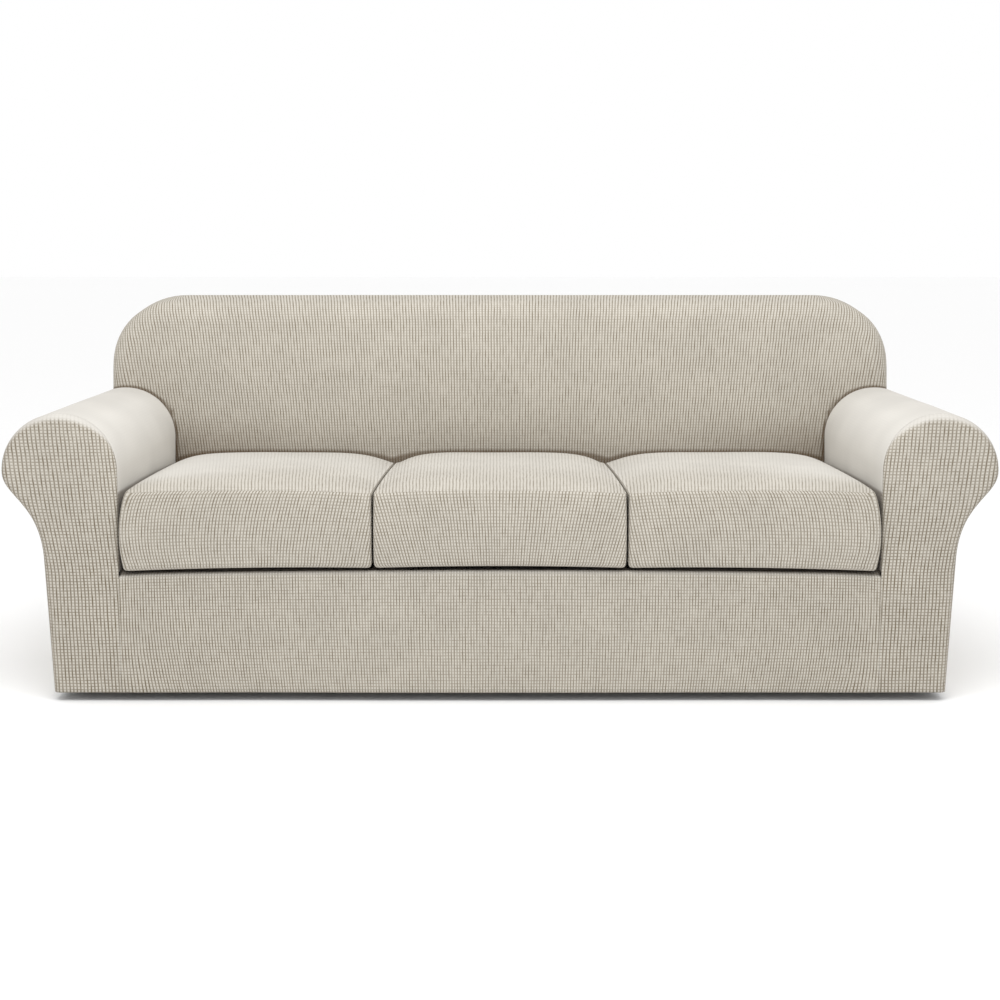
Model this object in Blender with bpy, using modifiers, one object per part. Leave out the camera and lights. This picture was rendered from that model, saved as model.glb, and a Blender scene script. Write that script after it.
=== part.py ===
"""Fitted slipcover for a three-seat sofa with rolled arms, hollow, in the shape in which it is worn.

Metres, +X to the right as seen from the front, +Y towards the rear, +Z up. The origin is on the
underside of the cloth over the back's top, where the cover hangs. Every piece is a thin sheet: its
outer face is a flat grid bent into shape, and Solidify gives it the cloth's thickness inwards.

A place is first worked out as (across, depth, height): across from the middle, depth behind the
front face, height above the hem. at() turns that into the object's own frame.
"""

import math

import bmesh
import bpy
from mathutils import Vector

# Driving dimensions
OVERALL_WIDTH = 2.198
OVERALL_DEPTH = 0.900
BACK_HEIGHT = 0.846  # at the rim of the back's top, without its crown
BACK_HALF = 1.020  # half the width of the back
ROLL_RADIUS = 0.128  # the arm's roll
ROLL_HEIGHT = 0.495  # the roll's centre
SEAT_HEIGHT = 0.272  # the deck under the cushions
SEAT_DEPTH = 0.585  # front face to inside back, at the deck
CLOTH = 0.002
SEAM = 0.0008  # left between pieces that meet edge to edge
LIP = 0.004  # a turned edge runs on straight for this far past its round

# The back
BACK_RAKE = 0.09  # metres back for each metre up
BACK_ROUND = 0.055  # front edge of the back's top and sides
BACK_CROWN = 0.014  # how far the middle of the inside back stands forward
BACK_CROWN_FROM = 0.450  # the height above which it does
TOP_CROWN = 0.010  # how far the back's top arches up between its front and rear edges
CORNER_FULLNESS = 0.92  # 1 for a true arc at the back's top corners, less for a squarer one
REAR_ROUND = 0.012
LAP = 0.003  # how far the inside back reaches behind the arm's rear edge

# The front apron
APRON_ROUND = 0.018
APRON_DEPTH = 0.0215  # its rear edge, on the deck

# The arms
WALL_TOP_HEIGHT = 0.300  # where the outer wall starts, under the tuck below the roll
WALL_TOP_X = 1.0110
WALL_HEM_X = 0.995
TUCK_TOP_HANDLE = 0.055  # the tuck's curve leaves the roll straight down for about this far
TUCK_FOOT_HANDLE = 0.125  # and comes into the outer wall for about this far
ARM_ROUND = 0.018  # front edge of the roll and of the outer wall
ARM_ROUND_INNER = 0.007  # front edge beside the cushions

# The seat cushion covers
CUSHION_SPACING = 0.562
CUSHION_HALF = 0.2798
CUSHION_FRONT = -0.015
CUSHION_REAR_GAP = 0.004
CUSHION_CLEARANCE = 0.007  # over the deck
CUSHION_FOOT_ARCH = 0.006  # how much higher the band's lower edge runs at the middle of each side
CUSHION_EDGE_HEIGHT = 0.449  # the seam between top and band
CUSHION_CROWN = 0.020
CUSHION_CORNER = 0.022
CUSHION_BULGE = 0.006  # how far the band stands out between its edges
CUSHION_FOOT_ROUND = 0.014
CUSHION_TURN_UNDER = 0.045
CUSHION_REAR_DROP = 0.020  # how far the top's rear corners lie below its front edge
CUSHION_TAPER = 0.010  # how far the inner sides lean towards the middle of the seat at the rear
CROWN_POWER = 4.5  # flat in the middle, steep at the rim
CORNER_SHARE = 0.3  # a drawn-in ring's corners tighten by this share of what it is drawn in

# Where the cover hangs
MOUNT_DEPTH = 0.790
MOUNT_HEIGHT = BACK_HEIGHT + TOP_CROWN - CLOTH

# Worked out
ROLL_X = OVERALL_WIDTH / 2 - ROLL_RADIUS
SEAT_HALF = ROLL_X - ROLL_RADIUS
FACE_HALF = SEAT_HALF + CLOTH  # half the width of the inside back between the arms
BACK_CORNER = BACK_HALF - FACE_HALF  # radius of the back's top corners
SIDE_TOP = BACK_HEIGHT - BACK_CORNER
REAR_SEAM = OVERALL_DEPTH - REAR_ROUND - LIP

# Steps of the grids
INNER_STEPS, FRONT_ARC_STEPS, REAR_ARC_STEPS, TUCK_STEPS, WALL_STEPS = 2, 7, 6, 7, 2
ARM_STEPS, ARM_REAR_STEPS = 4, 2
ROUND_STEPS, REAR_ROUND_STEPS = 3, 2
CORNER_STEPS, TOP_STEPS, FACE_ROWS, LOW_ROWS, BOX_STEPS = 7, 12, 6, 2, 4
APRON_ROWS, DECK_STEPS = 3, 5
SIDE_STEPS, BAND_ROWS, FOOT_STEPS = 8, 6, 2

UP, FORWARDS = Vector((0, 0, 1)), Vector((0, -1, 0))
GRID_SIZE = 1.0
WELD = 1e-5


def at(across, depth, height):
    return Vector((across, depth - MOUNT_DEPTH, height - MOUNT_HEIGHT))


def mix(a, b, share):
    return a + (b - a) * share


def spread(first, last, steps):
    return [mix(first, last, k / steps) for k in range(steps + 1)]


# ---------------------------------------------------------------- the cover's own curves


def inside_back(across, height):
    """Depth of the inside back: a raked plane, crowned between the arms and rounded off at each side."""
    depth = SEAT_DEPTH + BACK_RAKE * (height - SEAT_HEIGHT)
    off_middle = abs(across)
    crown_top = BACK_HEIGHT - BACK_ROUND
    if off_middle < FACE_HALF and BACK_CROWN_FROM < height < crown_top:
        rise = math.sin(math.pi * (height - BACK_CROWN_FROM) / (crown_top - BACK_CROWN_FROM))
        depth -= BACK_CROWN * rise * (1 - (off_middle / FACE_HALF) ** 2)
    past_edge = min(1.0, (off_middle - (BACK_HALF - BACK_ROUND)) / BACK_ROUND)
    if past_edge > 0:
        depth += BACK_ROUND * (1 - math.sqrt(1 - past_edge**2))
    return depth


def roll_top(across, radius=ROLL_RADIUS):
    """Height of the roll's upper surface at a place across, and of the roll's centre beside it."""
    return ROLL_HEIGHT + math.sqrt(max(0.0, radius**2 - (abs(across) - ROLL_X) ** 2))


def bezier(a, b, c, d, share):
    rest = 1 - share
    weights = (rest**3, 3 * rest**2 * share, 3 * rest * share**2, share**3)
    return tuple(sum(w * p[k] for w, p in zip(weights, (a, b, c, d))) for k in (0, 1))


def arm_section():
    """(across, height) of the right arm: from the deck up its inner wall, over the roll, in under it
    and down the outer wall to the hem. Over the roll it has a point wherever the back's rounded edge
    has one, a cloth's thickness further out; the last of these is point MEET, beside the back's side."""
    edge_turns = spread(0, math.pi / 2, ROUND_STEPS)
    back_edge = [BACK_HALF - BACK_ROUND * (1 - math.sin(a)) for a in edge_turns]
    seam_turns = [math.acos((ROLL_X - CLOTH - x) / ROLL_RADIUS) for x in back_edge]
    points = [(SEAT_HALF, h) for h in spread(SEAT_HEIGHT + SEAM, ROLL_HEIGHT, INNER_STEPS)]
    turns = spread(0, seam_turns[0], FRONT_ARC_STEPS)[1:] + seam_turns[1:]
    turns += spread(seam_turns[-1], math.pi, REAR_ARC_STEPS)[1:]
    for t in turns:
        points.append((ROLL_X - ROLL_RADIUS * math.cos(t), ROLL_HEIGHT + ROLL_RADIUS * math.sin(t)))
    roll_side = points[-1]
    wall_top = (WALL_TOP_X, WALL_TOP_HEIGHT)
    lean = (WALL_TOP_X - WALL_HEM_X) / WALL_TOP_HEIGHT
    below_roll = (roll_side[0], roll_side[1] - TUCK_TOP_HANDLE)
    above_wall = (wall_top[0] + lean * TUCK_FOOT_HANDLE, wall_top[1] + TUCK_FOOT_HANDLE)
    for share in spread(0, 1, TUCK_STEPS)[1:]:
        points.append(bezier(roll_side, below_roll, above_wall, wall_top, share))
    for share in spread(0, 1, WALL_STEPS)[1:]:
        points.append((mix(WALL_TOP_X, WALL_HEM_X, share), WALL_TOP_HEIGHT * (1 - share)))
    return points


ARM = arm_section()
MEET = INNER_STEPS + FRONT_ARC_STEPS + ROUND_STEPS


def arm_round(number):
    """Radius of the arm's front edge at a point of its section: small beside the cushions, and full
    from half way over the roll."""
    share = min(1.0, max(0.0, (number - INNER_STEPS) / FRONT_ARC_STEPS * 2))
    return mix(ARM_ROUND_INNER, ARM_ROUND, share)


def back_corner(turn):
    """(across, height) on the right top corner of the back, turn running from its side to its top."""
    return (
        FACE_HALF + BACK_CORNER * math.cos(turn) ** CORNER_FULLNESS,
        SIDE_TOP + BACK_CORNER * math.sin(turn) ** CORNER_FULLNESS,
    )


def back_outline():
    """((across, height), (outward across, outward height)) up the back's left side, round its top and
    down its right side. Side points are given at their share of the side's height instead of a height."""
    left = [((-BACK_HALF, s), (-1.0, 0.0)) for s in spread(0, 1, FACE_ROWS)]
    corner = []
    for turn in spread(0, math.pi / 2, CORNER_STEPS)[1:]:
        x, h = back_corner(turn)
        corner.append(((-x, h), (-math.cos(turn), math.sin(turn))))
    top = [((x, BACK_HEIGHT), (0.0, 1.0)) for x in spread(-FACE_HALF, FACE_HALF, TOP_STEPS)[1:-1]]

    def mirrored(run):
        return [((-spot[0], spot[1]), (-out[0], out[1])) for spot, out in reversed(run)]

    return left + corner + top + mirrored(corner) + mirrored(left)


def inset(points, distances):
    """The points of an open outline moved to their right by the distances, mitred. Its two ends keep
    their heights, so that a hem stays level."""
    ways = []
    for here, there in zip(points, points[1:]):
        run = Vector(there) - Vector(here)
        ways.append(Vector((run.y, -run.x)).normalized())
    moved = []
    for k, point in enumerate(points):
        before, after = ways[max(k - 1, 0)], ways[min(k, len(ways) - 1)]
        mean = (before + after).normalized()
        moved.append(Vector(point) + mean * distances[k] / mean.dot(before))
    moved[0].y, moved[-1].y = points[0][1], points[-1][1]
    return moved


def turned_edge(steps):
    """Rows of an edge turned back by a quarter round, as (share of the radius drawn in, share of the
    radius back, lips back): first the lip, then the round to the flat face."""
    turns = spread(0, math.pi / 2, steps)
    return [(0.0, 1.0, 1.0)] + [(1 - math.cos(t), 1 - math.sin(t), 0.0) for t in turns]


# ---------------------------------------------------------------- sheets


def bent_grid(mesh, across, along, place):
    """A flat grid, then its corners moved: place(i, j) gives the spot of column i and row j."""
    corners = bmesh.ops.create_grid(mesh, x_segments=across, y_segments=along, size=GRID_SIZE)["verts"]
    for corner in corners:
        i = round((corner.co.x / GRID_SIZE + 1) / 2 * across)
        j = round((corner.co.y / GRID_SIZE + 1) / 2 * along)
        corner.co = place(i, j)


def filled_ring(mesh, spots):
    """One flat face over a closed ring of spots."""
    corners = [mesh.verts.new(spot) for spot in spots]
    edges = [mesh.edges.new(pair) for pair in zip(corners, corners[1:] + corners[:1])]
    bmesh.ops.edgeloop_fill(mesh, edges=edges)


def finish_sheet(name, mesh, outwards, material, collection):
    """Joins the grids' shared edges, turns the faces to look outwards on the whole, and adds the
    cloth's thickness behind them."""
    bmesh.ops.remove_doubles(mesh, verts=mesh.verts[:], dist=WELD)
    bmesh.ops.recalc_face_normals(mesh, faces=mesh.faces[:])
    if sum(face.normal.dot(outwards) * face.calc_area() for face in mesh.faces) < 0:
        bmesh.ops.reverse_faces(mesh, faces=mesh.faces[:])
    data = bpy.data.meshes.new(name)
    mesh.to_mesh(data)
    mesh.free()
    data.shade_smooth()
    data.materials.append(material)
    piece = bpy.data.objects.new(name, data)
    collection.objects.link(piece)
    thickness = piece.modifiers.new("cloth", "SOLIDIFY")
    thickness.thickness = CLOTH
    thickness.offset = -1


def cloth_material(name, colour, roughness):
    material = bpy.data.materials.new(name)
    material.use_nodes = True
    shader = material.node_tree.nodes["Principled BSDF"]
    shader.inputs["Base Color"].default_value = (*colour, 1.0)
    shader.inputs["Roughness"].default_value = roughness
    shader.inputs["Metallic"].default_value = 0.0
    return material


# ---------------------------------------------------------------- the base cover


def make_arm(name, side, material, collection):
    """Inner wall, roll, tuck and outer wall. Up to MEET it ends at the inside back, past it at the rear."""
    mesh = bmesh.new()

    def front(number):
        return arm_round(number) + LIP + SEAM

    def behind(number):
        x, h = ARM[number]
        return inside_back(min(x - CLOTH, BACK_HALF), h) - SEAM

    def inner_part(i, j):
        x, h = ARM[i]
        return at(side * x, mix(front(i), behind(i), j / ARM_STEPS), h)

    def outer_part(i, j):
        x, h = ARM[MEET + i]
        if j <= ARM_STEPS:
            depth = mix(front(MEET + i), behind(MEET), j / ARM_STEPS)
        else:
            depth = mix(behind(MEET), REAR_SEAM - SEAM, (j - ARM_STEPS) / ARM_REAR_STEPS)
        return at(side * x, depth, h)

    bent_grid(mesh, MEET, ARM_STEPS, inner_part)
    bent_grid(mesh, len(ARM) - 1 - MEET, ARM_STEPS + ARM_REAR_STEPS, outer_part)
    finish_sheet(name, mesh, UP, material, collection)


def make_arm_front(name, side, material, collection):
    """The scroll front and the column under it: a flat face whose edge turns back to meet the arm."""
    mesh = bmesh.new()
    radii = [arm_round(k) for k in range(len(ARM))]
    rows = turned_edge(ROUND_STEPS)

    def edge(i, j):
        drawn_in, back, lips = rows[j]
        x, h = inset(ARM, [r * drawn_in for r in radii])[i]
        return at(side * x, radii[i] * back + LIP * lips, h)

    bent_grid(mesh, len(ARM) - 1, len(rows) - 1, edge)
    apron_side = SEAT_HALF + SEAM / 2
    ring = [tuple(spot) for spot in inset(ARM, radii)] + [(apron_side, 0.0), (apron_side, SEAT_HEIGHT)]
    filled_ring(mesh, [at(side * x, 0.0, h) for x, h in ring])
    finish_sheet(name, mesh, FORWARDS, material, collection)


def make_back_inside(name, material, collection):
    """The inside back, its rounded edge, and the strip over the back's top and sides to the rear seam."""
    mesh = bmesh.new()
    outline = back_outline()
    rim = outline[FACE_ROWS + 1 : -FACE_ROWS - 1]
    face_half = BACK_HALF - BACK_ROUND
    columns = [Vector((-face_half, SIDE_TOP))]
    columns += [Vector(spot) - BACK_ROUND * Vector(out) for spot, out in rim]
    columns.append(Vector((face_half, SIDE_TOP)))

    def foot(x):
        return roll_top(x, ROLL_RADIUS - LAP)

    def upper_face(i, j):
        x, top = columns[i]
        h = mix(foot(x), top, j / FACE_ROWS)
        return at(x, inside_back(x, h), h)

    def lower_face(i, j):
        x = mix(-FACE_HALF, FACE_HALF, i / TOP_STEPS)
        h = mix(SEAT_HEIGHT + SEAM, ROLL_HEIGHT, j / LOW_ROWS)
        return at(x, inside_back(x, h), h)

    def wrap(i, k):
        (x, h), (out_x, out_h) = outline[i]
        angle = math.pi / 2 * min(1, k / ROUND_STEPS)
        pull = BACK_ROUND * (1 - math.sin(angle))
        on_side = i <= FACE_ROWS or i >= len(outline) - 1 - FACE_ROWS
        x -= out_x * pull
        h = mix(foot(x), SIDE_TOP, h) if on_side else h - out_h * pull
        raked = SEAT_DEPTH + BACK_RAKE * (h - SEAT_HEIGHT)
        depth = raked + BACK_ROUND * (1 - math.cos(angle))
        share = max(0, k - ROUND_STEPS) / BOX_STEPS
        arch = TOP_CROWN * math.sin(math.pi * share) * max(0.0, out_h)
        return at(x, mix(depth, REAR_SEAM - SEAM, share), h + arch)

    bent_grid(mesh, len(columns) - 1, FACE_ROWS, upper_face)
    bent_grid(mesh, TOP_STEPS, LOW_ROWS, lower_face)
    bent_grid(mesh, len(outline) - 1, ROUND_STEPS + BOX_STEPS, wrap)
    finish_sheet(name, mesh, FORWARDS, material, collection)


def rear_outline():
    """From the left hem up the arm, over its roll, up and over the back, and down the right side."""
    half = ARM[:MEET:-1] + [(BACK_HALF, roll_top(BACK_HALF))]
    half += [back_corner(turn) for turn in spread(0, math.pi / 2, CORNER_STEPS)]
    return [(-x, h) for x, h in half] + half[::-1]


def make_back_outside(name, material, collection):
    mesh = bmesh.new()
    outline = rear_outline()
    rows = turned_edge(REAR_ROUND_STEPS)

    def ring(drawn_in):
        return inset(outline, [REAR_ROUND * drawn_in] * len(outline))

    def edge(i, j):
        drawn_in, back, lips = rows[j]
        x, h = ring(drawn_in)[i]
        return at(x, OVERALL_DEPTH - REAR_ROUND * back - LIP * lips, h)

    bent_grid(mesh, len(outline) - 1, len(rows) - 1, edge)
    filled_ring(mesh, [at(x, OVERALL_DEPTH, h) for x, h in ring(1.0)])
    finish_sheet(name, mesh, -FORWARDS, material, collection)


def make_front_apron(name, material, collection):
    """Up from the hem, then over the seat's front edge to the deck."""
    mesh = bmesh.new()
    half = SEAT_HALF - SEAM / 2
    section = [(0.0, h) for h in spread(0, SEAT_HEIGHT - APRON_ROUND, APRON_ROWS)]
    for turn in spread(0, math.pi / 2, ROUND_STEPS)[1:]:
        rise = SEAT_HEIGHT - APRON_ROUND * (1 - math.sin(turn))
        section.append((APRON_ROUND * (1 - math.cos(turn)), rise))
    section.append((APRON_DEPTH, SEAT_HEIGHT))

    def place(i, j):
        depth, h = section[j]
        return at(mix(-half, half, i / TOP_STEPS), depth, h)

    bent_grid(mesh, TOP_STEPS, len(section) - 1, place)
    finish_sheet(name, mesh, FORWARDS, material, collection)


def make_seat_deck(name, material, collection):
    mesh = bmesh.new()

    def place(i, j):
        x = mix(-FACE_HALF, FACE_HALF, i / TOP_STEPS)
        rear = inside_back(x, SEAT_HEIGHT) + CLOTH
        return at(x, mix(APRON_DEPTH + SEAM, rear, j / DECK_STEPS), SEAT_HEIGHT)

    bent_grid(mesh, TOP_STEPS, DECK_STEPS, place)
    finish_sheet(name, mesh, UP, material, collection)


# ---------------------------------------------------------------- the seat cushion covers


CUSHION_LENGTH = SEAT_DEPTH - CUSHION_REAR_GAP - CUSHION_FRONT
TOP_HALF = CUSHION_HALF - CUSHION_BULGE
CUSHION_FOOT = SEAT_HEIGHT + CUSHION_CLEARANCE


def on_cushion(number, x, run, height):
    """A spot at x from the middle of cushion -1, 0 or 1, and run behind its front. Its rear leans as
    the back does, and its inner sides lean towards the middle of the seat."""
    back, share = run / CUSHION_LENGTH, x / CUSHION_HALF
    towards_middle = share if number == 0 else (number - share) / 2
    across = number * CUSHION_SPACING + x - CUSHION_TAPER * back * towards_middle
    lean = BACK_RAKE * (height - SEAT_HEIGHT) * back
    return at(across, CUSHION_FRONT + run + lean, height)


def cushion_edge(x, run):
    """Height of the seam round the top: level in front, and lower towards the rear corners."""
    to_corner = abs(x / TOP_HALF) ** 3 * (run / CUSHION_LENGTH) ** 2
    return CUSHION_EDGE_HEIGHT - CUSHION_REAR_DROP * to_corner


def foot_arch(x, run):
    """How much the lower edge rises at a place on the plan's rim: most at the middle of each side."""
    along = min(abs(x) / TOP_HALF, 1.0), min(abs(2 * run / CUSHION_LENGTH - 1), 1.0)
    return CUSHION_FOOT_ARCH * (1 - min(along) ** 2)


def side_places(low, high, corner):
    """Places along one side of a cushion: its two rounded corners' middles and the straight between."""
    nook = corner * (1 - math.sqrt(0.5))
    return [low + nook] + spread(low + corner, high - corner, SIDE_STEPS) + [high - nook]


def cushion_ring(drawn_in):
    """(x, run) once round a cushion's plan, drawn in from its widest by this much, corners rounded."""
    corner = CUSHION_CORNER - drawn_in * CORNER_SHARE
    low_x, high_x = drawn_in - CUSHION_HALF, CUSHION_HALF - drawn_in
    low_y, high_y = drawn_in, CUSHION_LENGTH - drawn_in
    along_x, along_y = side_places(low_x, high_x, corner), side_places(low_y, high_y, corner)
    nook_low, nook_high = along_y[0], along_y[-1]
    front = [(x, low_y) for x in along_x[1:-1]]
    right = [(high_x, y) for y in along_y[1:-1]]
    rear = [(x, high_y) for x in reversed(along_x[1:-1])]
    left = [(low_x, y) for y in reversed(along_y[1:-1])]
    ring = [(along_x[0], nook_low)] + front + [(along_x[-1], nook_low)] + right
    ring += [(along_x[-1], nook_high)] + rear + [(along_x[0], nook_high)] + left
    return ring + ring[:1]


def make_cushion_top(name, number, material, collection):
    """The crowned top panel, its corners rounded as the band's are."""
    mesh = bmesh.new()
    corner = CUSHION_CORNER - CUSHION_BULGE * CORNER_SHARE
    along_x = side_places(-TOP_HALF, TOP_HALF, corner)
    along_y = side_places(CUSHION_BULGE, CUSHION_LENGTH - CUSHION_BULGE, corner)
    last = len(along_x) - 1

    def place(i, j):
        x, run = along_x[i], along_y[j]
        if i in (0, last) and j not in (0, last):
            x = math.copysign(TOP_HALF, x)
        if j in (0, last) and i not in (0, last):
            run = CUSHION_BULGE if j == 0 else CUSHION_LENGTH - CUSHION_BULGE
        u = abs(x) / TOP_HALF
        v = abs(2 * run / CUSHION_LENGTH - 1) / (1 - 2 * CUSHION_BULGE / CUSHION_LENGTH)
        crown = CUSHION_CROWN * (1 - u**CROWN_POWER) * (1 - min(1.0, v) ** CROWN_POWER)
        return on_cushion(number, x, run, cushion_edge(x, run) + crown)

    bent_grid(mesh, last, last, place)
    finish_sheet(name, mesh, UP, material, collection)


def make_cushion_band(name, number, material, collection):
    """The band from the top's seam down, standing out half way, rounded under and turned in below."""
    mesh = bmesh.new()
    rows = [(CUSHION_BULGE * (1 - math.sin(math.pi * s)), s) for s in spread(0, 1, BAND_ROWS)]
    under = []
    for turn in spread(0, math.pi / 2, FOOT_STEPS)[1:]:
        pull = CUSHION_BULGE + CUSHION_FOOT_ROUND * (1 - math.cos(turn))
        under.append((pull, CUSHION_FOOT_ROUND * (1 - math.sin(turn))))
    under.append((under[-1][0] + CUSHION_TURN_UNDER, 0.0))
    rings = [cushion_ring(pull) for pull, _ in rows + under]

    def place(i, j):
        x, run = rings[j][i]
        foot = CUSHION_FOOT + foot_arch(*rings[0][i])
        if j < len(rows):
            top = cushion_edge(x, run) - CLOTH - 2 * SEAM
            return on_cushion(number, x, run, mix(top, foot + CUSHION_FOOT_ROUND, rows[j][1]))
        return on_cushion(number, x, run, foot + under[j - len(rows)][1])

    bent_grid(mesh, len(rings[0]) - 1, len(rings) - 1, place)
    finish_sheet(name, mesh, -UP, material, collection)


# ---------------------------------------------------------------- the whole cover


def clear_scene():
    for old in list(bpy.data.objects):
        bpy.data.objects.remove(old, do_unlink=True)


def main():
    clear_scene()
    cover = bpy.data.collections.new("sofa_slipcover")
    bpy.context.scene.collection.children.link(cover)
    knit = cloth_material("check_knit", (0.56, 0.51, 0.44), 0.95)
    make_back_inside("back_inside", knit, cover)
    make_back_outside("back_outside", knit, cover)
    make_front_apron("front_apron", knit, cover)
    make_seat_deck("seat_deck", knit, cover)
    for side_name, side in (("left", -1), ("right", 1)):
        make_arm(f"arm_{side_name}", side, knit, cover)
        make_arm_front(f"arm_front_{side_name}", side, knit, cover)
    for place_name, number in (("left", -1), ("middle", 0), ("right", 1)):
        make_cushion_top(f"cushion_top_{place_name}", number, knit, cover)
        make_cushion_band(f"cushion_band_{place_name}", number, knit, cover)


main()
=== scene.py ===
"""Dresses the fitted sofa slipcover: each panel of stone-beige check knit as a thin, soft sheet.

Metres, in the frame's own axes: +X to the right as seen from the front, +Y to the rear, +Z up.
Shapes are worked out as arrays of (across, depth, height): across from the middle, depth behind the
front face, height above the hem; at() moves them into the frame. A panel is one or more patches. A
patch is a grid of spots with, for each spot, its place in the flat cloth, which the check follows,
how much of the check shows there, and how much painted shade darkens the cloth there: a painted
stand-in for the shade in folds, joints and corners and under the cushions.
"""

import math

import bmesh
import bpy
import numpy as np
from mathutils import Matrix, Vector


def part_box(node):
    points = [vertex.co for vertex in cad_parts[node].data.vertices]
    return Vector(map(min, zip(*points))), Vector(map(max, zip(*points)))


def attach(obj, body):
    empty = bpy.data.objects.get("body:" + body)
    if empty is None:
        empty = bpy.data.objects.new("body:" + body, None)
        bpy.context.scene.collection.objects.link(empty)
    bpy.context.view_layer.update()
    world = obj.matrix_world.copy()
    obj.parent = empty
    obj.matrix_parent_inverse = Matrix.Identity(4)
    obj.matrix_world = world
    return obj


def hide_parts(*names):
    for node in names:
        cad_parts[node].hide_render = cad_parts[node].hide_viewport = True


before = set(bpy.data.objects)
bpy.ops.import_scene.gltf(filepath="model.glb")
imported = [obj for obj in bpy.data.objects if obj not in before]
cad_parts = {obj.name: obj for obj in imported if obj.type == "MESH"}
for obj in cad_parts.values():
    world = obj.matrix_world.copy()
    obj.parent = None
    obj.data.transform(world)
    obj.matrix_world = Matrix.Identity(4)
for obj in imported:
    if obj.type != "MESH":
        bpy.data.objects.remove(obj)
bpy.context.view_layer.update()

# ---------------------------------------------------------------- sizes from the frame

arm_low, arm_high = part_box("arm_right")
apron_low, apron_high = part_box("front_apron")
back_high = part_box("back_inside")[1]
rear_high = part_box("back_outside")[1]

CLOTH = 0.002
FRONT = apron_low.y  # the plane of the front faces
HEM = apron_low.z
SEAT_HEIGHT = apron_high.z - HEM
SEAT_HALF = arm_low.x
ROLL_RADIUS = (arm_high.x - arm_low.x) / 2
ROLL_X = arm_low.x + ROLL_RADIUS
ROLL_HEIGHT = arm_high.z - HEM - ROLL_RADIUS
BACK_HALF = back_high.x
BACK_HEIGHT = rear_high.z - HEM
OVERALL_DEPTH = rear_high.y - FRONT
TOP_CROWN = back_high.z - rear_high.z
SEAT_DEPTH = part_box("seat_deck")[1].y - FRONT - CLOTH  # front face to inside back, at the deck

# ---------------------------------------------------------------- the cover's other sizes

GAP = 0.009  # between grid lines
CLOSE_GAP = 0.003  # between them where the cloth darkens sharply
WIDE_GAP = 0.020  # and where it is hidden
FINE = 0.001  # between the points of a path before it is resampled
LIP = 0.004  # a turned edge runs on straight for this far past its round
WELD = 5e-5  # spots closer than this are one

# The back
BACK_RAKE = 0.09  # metres back for each metre up
BACK_ROUND = 0.055  # radius of its front edge, along the sides and the top
BACK_CROWN = 0.014  # how far it stands out at its middle,
BACK_CROWN_FROM = 0.450  # above this height
BACK_FAN = 0.17  # share by which its ribs close up for each metre down
CORNER_FULLNESS = 0.92  # power of its corners' curve: 1 for a circle, less for a fuller corner
FACE_HALF = SEAT_HALF + CLOTH  # how far out its top is straight
BACK_CORNER = BACK_HALF - FACE_HALF
SIDE_TOP = BACK_HEIGHT - BACK_CORNER
REAR_ROUND = 0.012  # radius of the rear panel's edge
REAR_SEAM = OVERALL_DEPTH - REAR_ROUND - LIP
FOOT_LAP = 0.016  # how far the inside back reaches in behind the arm's surface
WRAP_FAN = 0.3  # share by which its ribs open for each metre round its edge
BACK_GAP = 0.0095  # between the grid's upright lines,
BACK_CLOSE_FROM = 0.815  # which stand closer from here out to the arms
BACK_JOINT_ROWS = (0, 0.008, 0.014, 0.017, 0.020, 0.023)  # the grid's first rows over an arm
CUSHION_JOINT = (0.420, 0.476)  # the heights between which the cushions' rear edges touch it

# The front apron
APRON_ROUND = 0.009  # radius of its top edge
APRON_DEPTH = 0.0215  # how far in it reaches under the cushions
APRON_LIFT = 0.004  # its edge under the cushions stands over the deck by this much
APRON_PULL = 0.024  # how far its ribs are drawn to the middle at the hem, where most,
APRON_PULL_AT = 0.72  # which is this far out,
APRON_PULL_END = 0.87  # and how far out they are drawn
APRON_PULL_DROP = 0.85  # this share less than that
APRON_CLOSE_FROM = 0.8  # its grid's upright lines stand closer from here out to the arms,
APRON_CLOSE_GAP = 0.004  # by this

# The arms
WALL_TOP_HEIGHT = 0.300  # where the straight outer wall ends and the tuck under the roll starts
WALL_TOP_X = 1.0110  # how far out the wall is there,
WALL_HEM_X = 0.995  # and at the hem
TUCK_TOP_HANDLE = 0.055  # lengths of the handles of the tuck's curve
TUCK_FOOT_HANDLE = 0.125
ARM_ROUND = 0.018  # radius of the front edge, over the roll and outside,
ARM_ROUND_INNER = 0.007  # and beside the cushions
ARM_PILLOW = 0.005  # how far the arm front stands out
SINK_RUN = 0.014  # the arm's surface turns in towards its seam with the inside back over this run,
SINK_DEPTH = 0.013  # by this much,
SINK_FADE = 0.100  # and less over this length before the seam leaves the roll
CUSHION_BESIDE = (0.145, 0.190)  # how far up the inner wall the cushion's edge lies against it

# An arm front's ribs lean out
COLUMN_LEAN = 0.035  # by this for each metre up, 2 degrees,
ROLL_LEAN = 0.06  # by this more for each metre over the roll's foot,
ROLL_LEAN_FROM = 0.27  # which is this high,
TUCK_LEAN = 0.018  # and over the tuck by this
TUCK_LEAN_AT = 0.2  # at this far from the inner edge, and further out as its square
TUCK_LEAN_FROM, TUCK_LEAN_FULL = 0.26, 0.45  # the heights where that starts and is in full

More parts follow.
